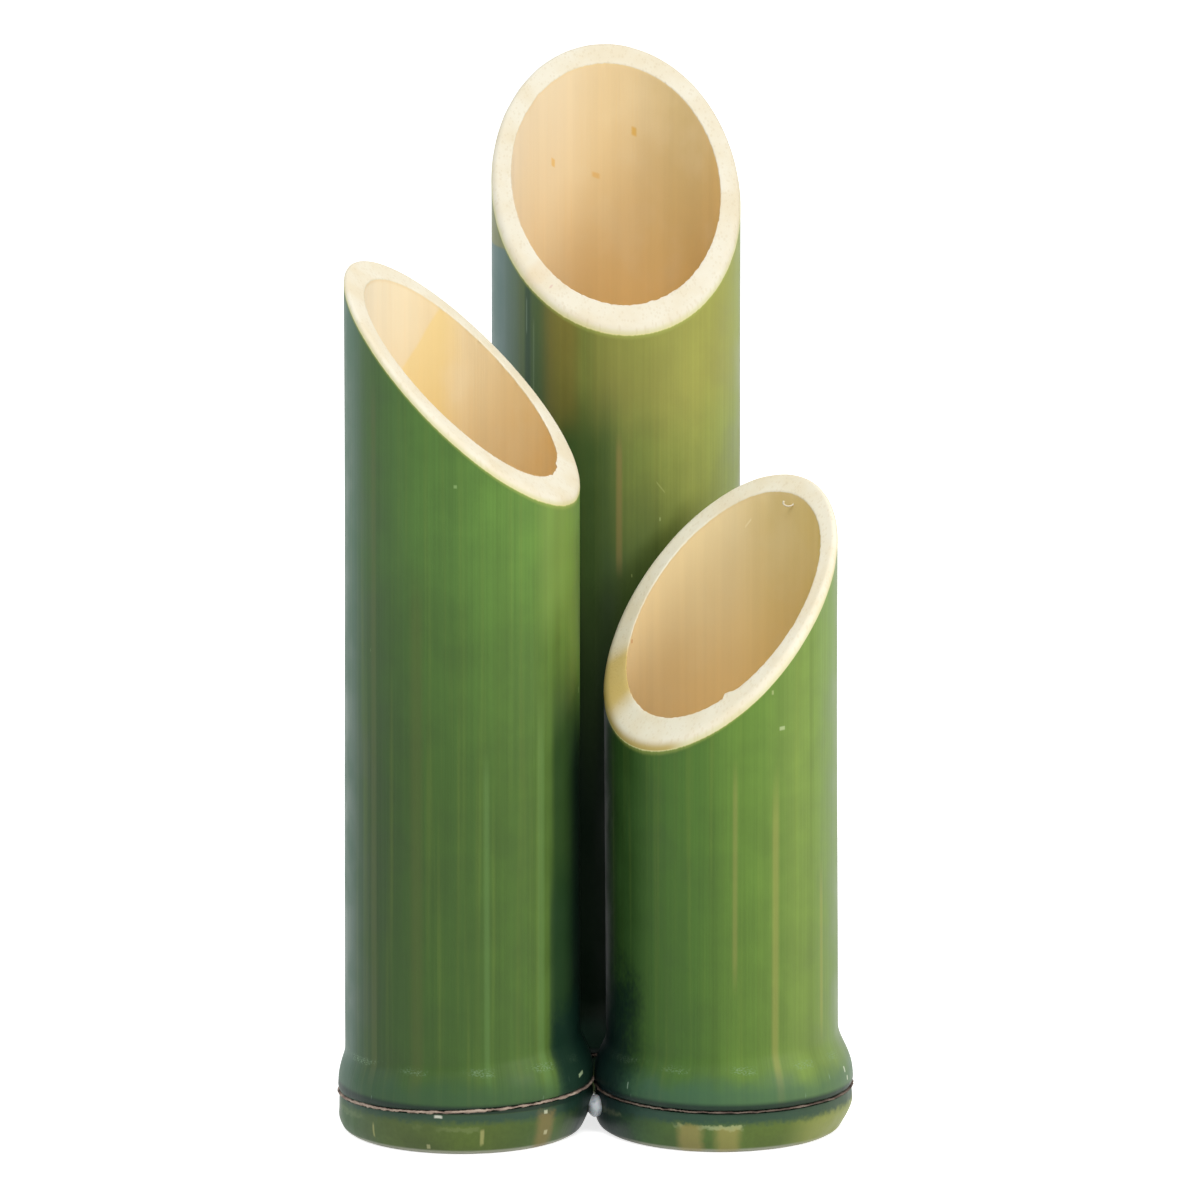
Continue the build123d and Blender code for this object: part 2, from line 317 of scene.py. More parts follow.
skins = {
    "left": {
        "round": [
            (0.0, colour(84, 112, 52)), (0.24, colour(68, 94, 74)), (0.29, colour(68, 94, 66)),
            (0.36, colour(62, 88, 46)), (0.47, colour(74, 106, 48)), (0.58, colour(88, 122, 52)),
            (0.68, colour(100, 130, 56)), (0.76, colour(84, 118, 52)),
        ],
        "climb": [(0.0, grey(0.70)), (0.34, grey(0.70)), (0.47, grey(0.86)), (0.6, grey(1.15)), (0.8, grey(1.2))],
        "yellow": colour(126, 140, 62), "yellowShare": 0.14, "shift": 3.0,
        "bloom": colour(52, 84, 62), "bloomShare": 0.5,
        "teal": colour(42, 68, 58), "tealFlecks": 0.1, "tealShort": 0.0012,
        # the foot's tone by turn, darkened as painted shade towards turn 0.70, where it faces the right culm
        "foot": [
            (0.0, colour(90, 104, 48)), (0.3, colour(66, 90, 60)), (0.42, colour(80, 96, 52)),
            (0.52, colour(84, 102, 46)), (0.62, colour(74, 98, 48)), (0.70, colour(34, 54, 34)),
        ],
        "marks": [
            # painted reflection: a bluish grey band down the left edge
            (0.25, 0.02, 0.0, 0.3195, 0.09, 0.002, colour(80, 110, 98), 0.6),
            # painted light: a lit band high on the right side
            (0.645, 0.012, 0.215, 0.27, 0.03, 0.03, colour(130, 156, 78), 0.4),
            (0.617, 0.002, 0.03, 0.15, 0.008, 0.03, colour(106, 140, 76), 0.4),
            (0.535, 0.0012, 0.04, 0.14, 0.005, 0.02, colour(102, 136, 76), 0.35),
            (0.440, 0.003, 0.03, 0.2, 0.010, 0.03, colour(84, 92, 48), 0.35),
            (0.368, 0.0015, 0.03, 0.28, 0.006, 0.02, colour(88, 98, 58), 0.4),
            # painted shadow and shade, in the next three marks: the right culm's shadow and the dark crevice low on
            # this culm's right side
            (0.77, 0.12, 0.0, 0.145, 0.022, 0.05, colour(26, 54, 26), 0.78),
            (0.77, 0.131, 0.0, 0.085, 0.008, 0.03, colour(24, 52, 30), 0.6),
            (0.77, 0.06, 0.0, 0.135, 0.045, 0.06, colour(8, 24, 18), 0.9),
            (0.494, 0.0012, 0.2571, 0.2577, 0.0018, 0.0006, colour(150, 180, 118), 0.5),
            (0.726, 0.0014, 0.1710, 0.1728, 0.001, 0.0006, colour(150, 176, 120), 0.6),
        ],
    },
    "right": {
        "round": [
            (0.0, colour(92, 120, 52)), (0.24, colour(22, 50, 26)), (0.34, colour(48, 80, 34)),
            (0.45, colour(74, 108, 44)), (0.54, colour(98, 130, 54)), (0.62, colour(120, 146, 68)),
            (0.70, colour(122, 146, 84)), (0.76, colour(106, 128, 84)),
        ],
        "climb": [(0.0, grey(0.86)), (0.15, grey(0.88)), (0.3, grey(0.96)), (0.5, grey(1.04))],
        "yellow": colour(132, 146, 62), "yellowShare": 0.14, "shift": 11.0,
        "bloom": colour(58, 94, 78), "bloomShare": 0.6,
        "teal": colour(38, 66, 58), "tealFlecks": 0.55, "tealShort": 0.0,
        # the foot's tone by turn, darkened as painted shade at turn 0.26, where it faces the left culm, and lighter
        # towards the lamp on the right
        "foot": [
            (0.0, colour(96, 112, 48)), (0.26, colour(20, 40, 30)), (0.36, colour(50, 80, 48)),
            (0.46, colour(80, 104, 52)), (0.56, colour(92, 112, 50)), (0.66, colour(122, 132, 66)),
            (0.76, colour(120, 130, 76)),
        ],
        "marks": [
            # painted shade: the dark crevice on the left side, facing the left culm
            (0.24, 0.02, 0.0, 0.15, 0.07, 0.06, colour(6, 24, 18), 0.85),
            (0.515, 0.001, 0.08, 0.14, 0.005, 0.02, colour(156, 146, 84), 0.3),
            (0.573, 0.0015, 0.03, 0.12, 0.006, 0.03, colour(160, 156, 84), 0.4),
            (0.66, 0.001, 0.05, 0.09, 0.004, 0.02, colour(170, 164, 92), 0.3),
            (0.583, 0.003, 0.1624, 0.1632, 0.002, 0.0006, colour(190, 204, 152), 0.6, 0.02),
            (0.568, 0.001, 0.1765, 0.1775, 0.001, 0.0006, colour(180, 190, 130), 0.5),
        ],
    },
    "tall": {
        "round": [
            (0.0, colour(98, 124, 52)), (0.24, colour(112, 120, 84)), (0.31, colour(86, 98, 58)),
            (0.36, colour(80, 92, 42)), (0.44, colour(98, 110, 50)), (0.52, colour(112, 126, 58)),
            (0.62, colour(144, 152, 72)), (0.70, colour(140, 152, 84)), (0.76, colour(126, 138, 92)),
        ],
        "climb": [(0.0, grey(0.5)), (0.3, grey(0.62)), (0.55, grey(0.84)), (0.75, grey(1.08))],
        "yellow": colour(150, 146, 66), "yellowShare": 0.14, "shift": 23.0,
        "bloom": colour(58, 94, 78), "bloomShare": 0.6,
        "teal": colour(38, 66, 58), "tealFlecks": 0.4, "tealShort": 0.0006,
        "foot": [
            (0.0, colour(96, 112, 48)), (0.35, colour(70, 96, 50)), (0.65, colour(90, 108, 48)),
        ],
        "marks": [
            # painted shade, in the next two marks: darker low on the front, behind the two front culms
            (0.45, 0.02, 0.0, 0.262, 0.06, 0.03, colour(48, 78, 38), 0.7),
            (0.54, 0.03, 0.0, 0.205, 0.05, 0.06, colour(50, 78, 36), 0.65),
            (0.58, 0.08, 0.285, 0.4, 0.08, 0.03, colour(156, 142, 72), 0.35),
            # painted reflection: pale grey high on the left edge
            (0.28, 0.05, 0.3275, 0.4, 0.05, 0.0015, colour(146, 148, 112), 0.55),
            # painted shade: darker on the front-left, beside the left culm
            (0.395, 0.014, 0.15, 0.316, 0.022, 0.012, colour(62, 86, 54), 0.7),
            # painted reflection: bluish grey down the left edge
            (0.285, 0.018, 0.0, 0.3262, 0.09, 0.0015, colour(96, 124, 126), 0.76),
            (0.376, 0.0016, 0.2, 0.312, 0.006, 0.008, colour(38, 62, 48), 0.65),
            (0.374, 0.0003, 0.298, 0.308, 0.0012, 0.003, colour(128, 148, 124), 0.4),
            (0.386, 0.0004, 0.262, 0.298, 0.0014, 0.006, colour(120, 138, 104), 0.3, -0.1),
            (0.397, 0.0004, 0.250, 0.268, 0.0012, 0.004, colour(130, 146, 108), 0.4),
            (0.427, 0.014, 0.276, 0.33, 0.02, 0.02, colour(128, 114, 52), 0.6),
            (0.415, 0.0015, 0.235, 0.262, 0.004, 0.01, colour(112, 84, 50), 0.45),
            (0.504, 0.002, 0.215, 0.252, 0.004, 0.012, colour(144, 122, 72), 0.45),
            (0.558, 0.005, 0.2383, 0.2387, 0.002, 0.0004, colour(160, 168, 98), 0.4, -0.36),
            (0.557, 0.0006, 0.2257, 0.2266, 0.001, 0.0005, colour(176, 188, 122), 0.5),
            (0.52, 0.0005, 0.2042, 0.2050, 0.0008, 0.0004, colour(166, 178, 110), 0.5),
            # painted shade: the dark foot behind the two front culms
            (0.5, 0.07, 0.0, 0.12, 0.05, 0.12, colour(10, 28, 24), 0.85),
        ],
    },
}

nodeBands = {  # heights of the tones at the foot, in metres, from nothing to full
    "bloom": (0.0315, 0.0225), "dustTop": (0.0340, 0.0322), "dustFoot": (0.0298, 0.0312),
    "scratches": (0.0300, 0.0240), "skirt": (0.0166, 0.0158), "teal": (0.0098, 0.0134),
    "fleckTop": (0.0118, 0.0108), "fleckFoot": (0.0090, 0.0100),
    # the groove band on the next line is a band of painted shade under the crest
    "grooveShadeTop": (0.0204, 0.0184), "grooveShadeFoot": (0.0158, 0.0166), "sawn": (0.00208, 0.00104),
}

footLook = {  # tones that all feet share, and how strong each is
    "dust": (0.5, colour(128, 156, 124)), "scratch": (0.38, colour(150, 180, 160)), "tealShare": 0.85,
    # the gap tone is painted shade in the groove, under the crest
    "fleck": colour(176, 186, 140), "gap": (0.85, colour(20, 36, 32)), "sawn": (0.8, colour(172, 174, 156)),
    "bloomSway": 0.012, "dustSway": 0.003, "tealSway": 0.004, "dustScale": 1100.0,
}


def skinMarks(tree, base, turn, rise, ragged, marks):
    for middle, half, low, high, sideBlur, endBlur, tone, strength, *slope in marks:
        mask = useGroup(tree, patchGroup, {
            "Turn": turn, "Height": rise, "Ragged": ragged, "Middle": middle, "Half Width": half,
            "Side Blur": sideBlur, "Low": low, "High": high, "End Blur": endBlur, "Slope": sum(slope),
        })["Mask"]
        base = tint(tree, base, mask, strength, tone)
    return base


def footTones(tree, base, look, turn, rise, place, cloud, fine):
    n, tones = nodeBands, footLook
    # A bluish bloom above the crest, broken up at its top, with pale dust along it and short scratches
    bloom = band(tree, swayed(tree, rise, cloud, tones["bloomSway"]), *n["bloom"])
    base = tint(tree, base, bloom, look["bloomShare"], look["bloom"])
    dust = noiseAt(tree, stretched(tree, place, (1, 1, 3)), tones["dustScale"], 4.0)
    level = swayed(tree, rise, cloud, tones["dustSway"])
    row = times(tree, band(tree, level, *n["dustTop"]), band(tree, level, *n["dustFoot"]))
    specks = times(tree, band(tree, dust, 0.48, 0.6), band(tree, cloud, 0.44, 0.56))
    base = tint(tree, base, times(tree, row, specks), *tones["dust"])
    lines = useGroup(tree, fleckGroup, {
        "Vector": stretched(tree, place, (1, 1, 0.22)), "Density": 330.0, "Size": 0.24, "Share": 0.12,
    })["Mask"]
    base = tint(tree, base, times(tree, lines, band(tree, rise, *n["scratches"])), *tones["scratch"])
    # The foot under the node: dark teal at the top, olive below; its tone by turn carries painted shade where the
    # feet face each other
    belowNode = band(tree, rise, *n["skirt"])
    skirt = shade(tree, ringRamp(tree, turn, look["foot"]), band(tree, cloud, 0.3, 0.7, 0.86, 1.08))
    skirt = shade(tree, skirt, band(tree, fine, 0.3, 0.7, 0.94, 1.05))
    base = blendColour(tree, belowNode, base, skirt)
    wavy = swayed(tree, rise, fine, tones["tealSway"])
    teal = times(tree, band(tree, wavy, *(height + look["tealShort"] for height in n["teal"])), belowNode)
    base = tint(tree, base, teal, tones["tealShare"], look["teal"])
    row = times(tree, band(tree, wavy, *n["fleckTop"]), band(tree, wavy, *n["fleckFoot"]))
    base = tint(tree, base, times(tree, row, band(tree, cloud, 0.5, 0.6)), look["tealFlecks"], tones["fleck"])
    # A dark line of painted shade in the groove's upper corner, under the crest, and the sawn edge at the floor
    gap = times(tree, band(tree, rise, *n["grooveShadeTop"]), band(tree, rise, *n["grooveShadeFoot"]))
    base = tint(tree, base, gap, *tones["gap"])
    return tint(tree, base, band(tree, rise, *n["sawn"]), *tones["sawn"])


skinFinish = {  # fibres and stripes: how close together, how long, and shifted by how much
    "fibres": (420.0, 5.0, 0.0), "stripes": (130.0, 2.2, 7.0), "cloud": (60.0, 5.0), "fineCloud": (520.0, 3.0),
    "sway": 0.03, "climbTop": 0.4, "streaks": 0.12, "fleck": (0.45, colour(180, 196, 150)),
    "edgeRagged": 0.0006, "edge": colour(160, 170, 88), "edgeLine": colour(216, 210, 150), "bump": (0.35, 0.00018),
}


def makeSkin(name, look, marks):
    finish = skinFinish
    material, tree, shader = newMaterial(name + "GreenSkin", {
        "Roughness": 0.45, "Specular IOR Level": 0.2, "Coat Weight": 0.0,
    })
    turn, rise, place = wrapPlace(tree)
    grain, wide = [useGroup(tree, grainGroup, {
        "Vector": place, "Across": across, "Along": along, "Shift": look["shift"] + shift,
    }) for across, along, shift in (finish["fibres"], finish["stripes"])]
    cloud, fineCloud = (noiseAt(tree, place, *finish[kind]) for kind in ("cloud", "fineCloud"))
    # the skin's own green with painted light by turn: lit right side, shaded left side and neighbours, painted
    # reflection on the left edges
    base = ringRamp(tree, swayed(tree, turn, wide["Broad"], finish["sway"]), look["round"])
    base = shade(tree, base, ramp(tree, calc(tree, "DIVIDE", rise, finish["climbTop"]), look["climb"]))
    base = tint(tree, base, band(tree, wide["Fine"], 0.52, 0.74), look["yellowShare"], look["yellow"])
    dark = band(tree, grain["Broad"], 0.52, 0.30)
    base = shade(tree, base, calc(tree, "SUBTRACT", 1.0, times(tree, dark, finish["streaks"])))
    base = shade(tree, base, band(tree, grain["Fine"], 0.36, 0.66, 0.955, 1.04))
    base = shade(tree, base, band(tree, cloud, 0.3, 0.7, 0.92, 1.07))
    # skin marks: streaks and flecks, and painted light, shade, shadow and reflection
    base = skinMarks(tree, base, turn, rise, wide["Broad"], look["marks"])
    flecks = useGroup(tree, fleckGroup, {
        "Vector": stretched(tree, place, (1, 1, 0.35)), "Density": 130.0, "Size": 0.09, "Share": 0.04,
    })["Mask"]
    base = tint(tree, base, flecks, *finish["fleck"])
    base = footTones(tree, base, look, turn, rise, place, cloud, fineCloud)
    edges = times(tree, calc(tree, "ADD", cloud, fineCloud), 0.5)
    # foot marks: tan patches, pale ticks and painted shade where the feet face each other
    base = skinMarks(tree, base, turn, rise, edges, marks)
    start = swayed(tree, fromMesh(tree, "skinStart"), grain["Fine"], finish["edgeRagged"])
    base = blendColour(tree, band(tree, start, 0.0018, 0.0003, 0.0, 0.5), base, finish["edge"])
    base = blendColour(tree, band(tree, start, 0.0005, 0.0001), base, finish["edgeLine"])
    rough = calc(tree, "ADD", band(tree, cloud, 0.3, 0.7, 0.38, 0.52), times(tree, grain["Fine"], 0.06))
    height = calc(tree, "ADD", grain["Height"], times(tree, fineCloud, 0.35))
    dress(tree, shader, base, rough, height, *finish["bump"])
    return material


# Cut wood of the mouths and feet: vascular dots that run up the culm, so they depend on X and Y alone

cutWoodLook = {
    "pale": colour(233, 227, 208), "warm": colour(228, 217, 190), "dot": colour(206, 186, 146),
    "dots": {"Density": 900.0, "Size": 0.5, "Share": 0.7}, "dotShare": 0.2, "skinEdge": colour(204, 202, 130),
    # light holds painted light and shade: one factor per culm, so that the same cut wood is lighter or darker on each
    # culm
    "light": {"left": 0.93, "right": 1.0, "tall": 0.87, "splinter": 1.0}, "cloud": 60.0, "saw": 900.0,
    "bump": (0.3, 0.00015),
}


def makeCutWood(name, stain, edge):
    look = cutWoodLook
    material, tree, shader = newMaterial(name + "CutWood", {"Roughness": 0.62, "Specular IOR Level": 0.3})
    place = objectPlace(tree)
    cloud = noiseAt(tree, place, look["cloud"], 4.0)
    base = blendColour(tree, band(tree, cloud, 0.35, 0.7), look["pale"], look["warm"])
    dots = useGroup(tree, fleckGroup, {"Vector": objectPlace(tree, (1, 1, 0.06)), **look["dots"]})["Mask"]
    base = tint(tree, base, dots, look["dotShare"], look["dot"])
    # painted light and shade: the per-culm factor
    base = shade(tree, base, look["light"][name])
    outside = fromMesh(tree, "rimShare")
    base = blendColour(tree, band(tree, outside, 1.5, 2.0, 0.0, 0.5), base, look["skinEdge"])
    turn, rise, _ = wrapPlace(tree)
    base = skinMarks(tree, base, turn, rise, cloud, stain)
    stained = skinMarks(tree, base, turn, rise, cloud, edge)
    base = blendColour(tree, band(tree, outside, 1.2, 1.9), base, stained)
    saw = noiseAt(tree, place, look["saw"], 4.0)
    height = calc(tree, "ADD", saw, times(tree, dots, -0.8))
    dress(tree, shader, base, band(tree, saw, 0.2, 0.8, 0.52, 0.72), height, *look["bump"])
    return material


# Inner wall: a tan, papery lining with fine upright fibres

innerFinish = {"fibres": (480.0, 9.0), "cloud": 45.0, "lip": colour(224, 200, 150), "bump": (0.3, 0.00022)}


def makeInnerWall(name, look):
    finish = innerFinish
    material, tree, shader = newMaterial(name + "InnerWall", {"Roughness": 0.6, "Specular IOR Level": 0.3})
    turn, rise, place = wrapPlace(tree)
    across, along = finish["fibres"]
    grain = useGroup(tree, grainGroup, {"Vector": place, "Across": across, "Along": along, "Shift": look["shift"]})
    cloud = noiseAt(tree, place, finish["cloud"], 4.0)
    depth = fromMesh(tree, "skinStart")
    # tan with painted light by turn: paler on the lit left wall, warmer and darker on the shaded right
    base = ringRamp(tree, turn, look["round"])
    base = blendColour(tree, band(tree, depth, 0.0, look["reach"], 0.0, 0.75), base, look["deep"])
    base = blendColour(tree, band(tree, cloud, 0.4, 0.7, 0.0, 0.25), base, look["pale"])
    base = shade(tree, base, band(tree, grain["Broad"], 0.35, 0.65, 0.98, 1.015))
    base = blendColour(tree, band(tree, grain["Fine"], 0.55, 0.8, 0.0, 0.14), base, look["thread"])
    base = skinMarks(tree, base, turn, rise, cloud, look["marks"])
    base = blendColour(tree, band(tree, depth, 0.0, 0.0012, 0.5, 0.0), base, finish["lip"])
    height = calc(tree, "ADD", grain["Height"], cloud)
    dress(tree, shader, base, band(tree, cloud, 0.3, 0.7, 0.5, 0.68), height, *finish["bump"])
    return material


# Each inner wall's tone by turn is its own tan with painted light over it: paler on the left wall, where light falls,
# and warmer and darker on the right, in shade.
inners = {
    "left": {
        "round": [
            (0.0, colour(232, 210, 166)), (0.25, colour(236, 224, 198)), (0.5, colour(236, 210, 162)),
            (0.8, colour(246, 212, 148)),
        ],
        "deep": colour(252, 216, 136), "pale": colour(240, 226, 192), "thread": colour(240, 198, 118),
        "reach": 0.10, "shift": 31.0,
        "marks": [(0.075, 0.03, 0.235, 0.2972, 0.05, 0.003, colour(236, 206, 126), 0.55, -0.305)],
    },
    "right": {
        "round": [
            (0.0, colour(234, 212, 162)), (0.25, colour(244, 220, 172)), (0.5, colour(236, 208, 150)),
            (0.75, colour(238, 210, 134)), (0.9, colour(224, 200, 138)),
        ],
        "deep": colour(254, 216, 138), "pale": colour(240, 222, 176), "thread": colour(236, 198, 122),
        "reach": 0.09, "shift": 37.0,
        "marks": [
            (0.196, 0.0016, 0.1854, 0.1864, 0.0016, 0.0005, colour(206, 126, 62), 0.8),
            (0.957, 0.004, 0.2268, 0.2273, 0.002, 0.0004, colour(248, 232, 190), 0.6, -0.3),
        ],
    },
    "tall": {
        "round": [
            (0.0, colour(222, 196, 148)), (0.12, colour(228, 208, 172)), (0.25, colour(236, 222, 196)),
            (0.5, colour(230, 196, 138)), (0.75, colour(226, 192, 126)), (0.88, colour(214, 188, 132)),
        ],
        "deep": colour(252, 208, 122), "pale": colour(234, 214, 172), "thread": colour(232, 192, 116),
        "reach": 0.11, "shift": 41.0,
        "marks": [
            (0.972, 0.002, 0.3618, 0.3640, 0.004, 0.0012, colour(216, 168, 66), 0.75, 0.1),
            (0.103, 0.0014, 0.3506, 0.3526, 0.003, 0.001, colour(222, 176, 88), 0.7, 0.15),
            (0.031, 0.003, 0.3450, 0.3460, 0.005, 0.001, colour(222, 172, 84), 0.6, 0.1),
        ],
    },
}


# The culms' own meshes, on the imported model's places and sizes

# shift: the node off the axis; tilt: the node line's rise by x and y; lean: the skin's way at the mouth;
# footIn: how far the foot is drawn in
culms = {
    "left": {
        "radius": 0.0450, "mouth": 0.2911, "angle": 43.7, "heading": 157.3, "setback": 0.0023, "shift": (0.0012, 0.0),
        "tilt": (0.045, -0.0235), "lean": (0.0004, 0.0), "taper": 0.0005, "footIn": 0.0014, "seed": 5,
    },
    "right": {
        "radius": 0.0443, "mouth": 0.2031, "angle": 45.9, "heading": 49.2, "setback": 0.0028, "shift": (0.0005, 0.0),
        "tilt": (0.0, 0.0), "lean": (-0.0011, 0.0), "taper": 0.0, "footIn": 0.0014, "seed": 17,
    },
    "tall": {
        "radius": 0.0483, "mouth": 0.3492, "angle": 45.2, "heading": 96.3, "setback": 0.0026,
        "shift": (-0.00098, -0.00069), "tilt": (0.0, 0.0), "lean": (0.0, 0.0), "taper": 0.0003, "footIn": 0.0008,
        "seed": 29,
    },
}

culmShape = {
    "steps": 288, "crest": 0.0194, "crestLip": 0.0005, "flare": 0.024, "flareSink": 0.0008, "flareSweep": 0.0265,
    "skirtInset": 0.0002, "skirtLip": 0.0004, "footInset": 0.0026, "bulge": 0.0078,
    "grooveLow": 0.0156, "grooveTop": 0.0172, "grooveDepth": 0.00225,
    "septumLow": 0.0156, "septumTop": 0.0206, "floorRound": 0.009, "recessRound": 0.004,
    "innerRound": 0.0004, "edgeRound": 0.0005,
    "flareRings": 16, "wallRings": 60, "rimRings": 7, "flatRings": 3, "innerRings": 50,
    "waver": 0.00018, "ragged": 0.00022,
}

# Torn spots of the inner rim: (turn where one starts, its width, how far the wood stands into the mouth)
tornSpots = {
    "left": [(0.735, 0.035, 0.0006), (0.69, 0.02, -0.0003)],
    "right": [(0.500, 0.022, 0.0016), (0.62, 0.02, -0.0003)],
    "tall": [(0.55, 0.02, 0.0003), (0.13, 0.02, -0.0003)],
}


def culmOutline(nodeRadius, radius, bore):  # (radius, height, kind of ring, share along that kind)
    s = culmShape
    foot = nodeRadius - s["skirtInset"] - s["footInset"]
    points = [(bore * k / 6 - s["recessRound"] * k / 6, s["septumLow"], "recess", 0) for k in range(7)]
    for k in range(1, 6):
        angle = math.radians(18 * k)
        points.append((bore - s["recessRound"] * (1 - math.sin(angle)),
                       s["septumLow"] - s["recessRound"] * (1 - math.cos(angle)), "recess", 0))
    points += [(bore, 0.006, "recess", 0), (bore, s["edgeRound"], "recess", 0)]
    points += [(bore + s["edgeRound"], 0.0, "sole", 0), ((bore + foot) / 2, 0.0, "sole", 0)]
    points += [(foot - s["edgeRound"], 0.0, "sole", 0), (foot, s["edgeRound"] * 0.6, "skirt", 0)]
    for k in range(1, 13):
        angle = math.radians(90 * k / 12)
        height = s["edgeRound"] + (s["bulge"] - s["edgeRound"]) * (1 - math.cos(angle))
        points.append((foot + s["footInset"] * math.sin(angle), height, "skirt", 0))
    for k in range(1, 9):
        share = k / 8
        points.append((nodeRadius - s["skirtInset"] - s["skirtLip"] * share * share,
                       s["bulge"] + (s["grooveLow"] - s["bulge"]) * share, "skirt", 0))
    floor = nodeRadius - s["grooveDepth"]
    points += [(floor + 0.0006, s["grooveLow"] + 0.0001, "skirt", 0), (floor, s["grooveLow"] + 0.0004, "skirt", 0)]
    points += [(floor, s["grooveTop"] - 0.0003, "skirt", 0), (floor + 0.0006, s["grooveTop"], "skirt", 0)]
    for k in range(6):
        angle = math.radians(90 * k / 5)
        points.append((nodeRadius - s["crestLip"] * (1 - math.sin(angle)),
                       s["grooveTop"] + (s["crest"] - s["grooveTop"]) * k / 5, "skirt", 0))
    # From here on a ring only has to stand apart from the next; makeCulm gives it its place by its share
    points += [(nodeRadius, s["crest"] + 0.001 * k, "flare", k / s["flareRings"])
               for k in range(1, s["flareRings"] + 1)]
    top = s["crest"] + s["flare"]
    points += [(radius, top + 0.1 * k, "wall", k / s["wallRings"]) for k in range(1, s["wallRings"])]
    points += [(radius - 0.0001 * k, top + 9.0, "rim", k / s["rimRings"]) for k in range(s["rimRings"] + 1)]
    points += [(radius - 0.002 * k, top + 9.1, "flat", k / (s["flatRings"] + 1))
               for k in range(1, s["flatRings"] + 1)]
    points += [(bore + 0.0001 * (3 - k), top + 9.2, "lip", k / 3) for k in range(4)]
    points += [(bore, top + 9.0 - 0.1 * k, "inner", k / s["innerRings"]) for k in range(1, s["innerRings"] + 1)]
    for k in range(1, 7):
        angle = math.radians(15 * k)
        points.append((bore - s["floorRound"] * (1 - math.cos(angle)),
                       s["septumTop"] + s["floorRound"] * (1 - math.sin(angle)), "bottom", 0))
    points += [((bore - s["floorRound"]) * (5 - k) / 5, s["septumTop"], "bottom", 0) for k in range(1, 6)]
    return points


def roundedEdge(corner, first, second, setback, share):  # an arc that starts the same way back on both faces
    across = first.dot(second)
    radius = setback * math.sqrt((1 + across) / (1 - across))
    centre = corner - (first + second) * (radius / (1 + across))
    between = first.slerp(second, share)
    return centre + between.normalized() * radius


def tornBy(name, turn):
    total = 0.0
    for start, width, reach in tornSpots[name]:  # an abrupt start that tapers off
        total += reach * smooth(-0.002, 0.0, turn - start) * smooth(width, 0.0, turn - start)
    return total


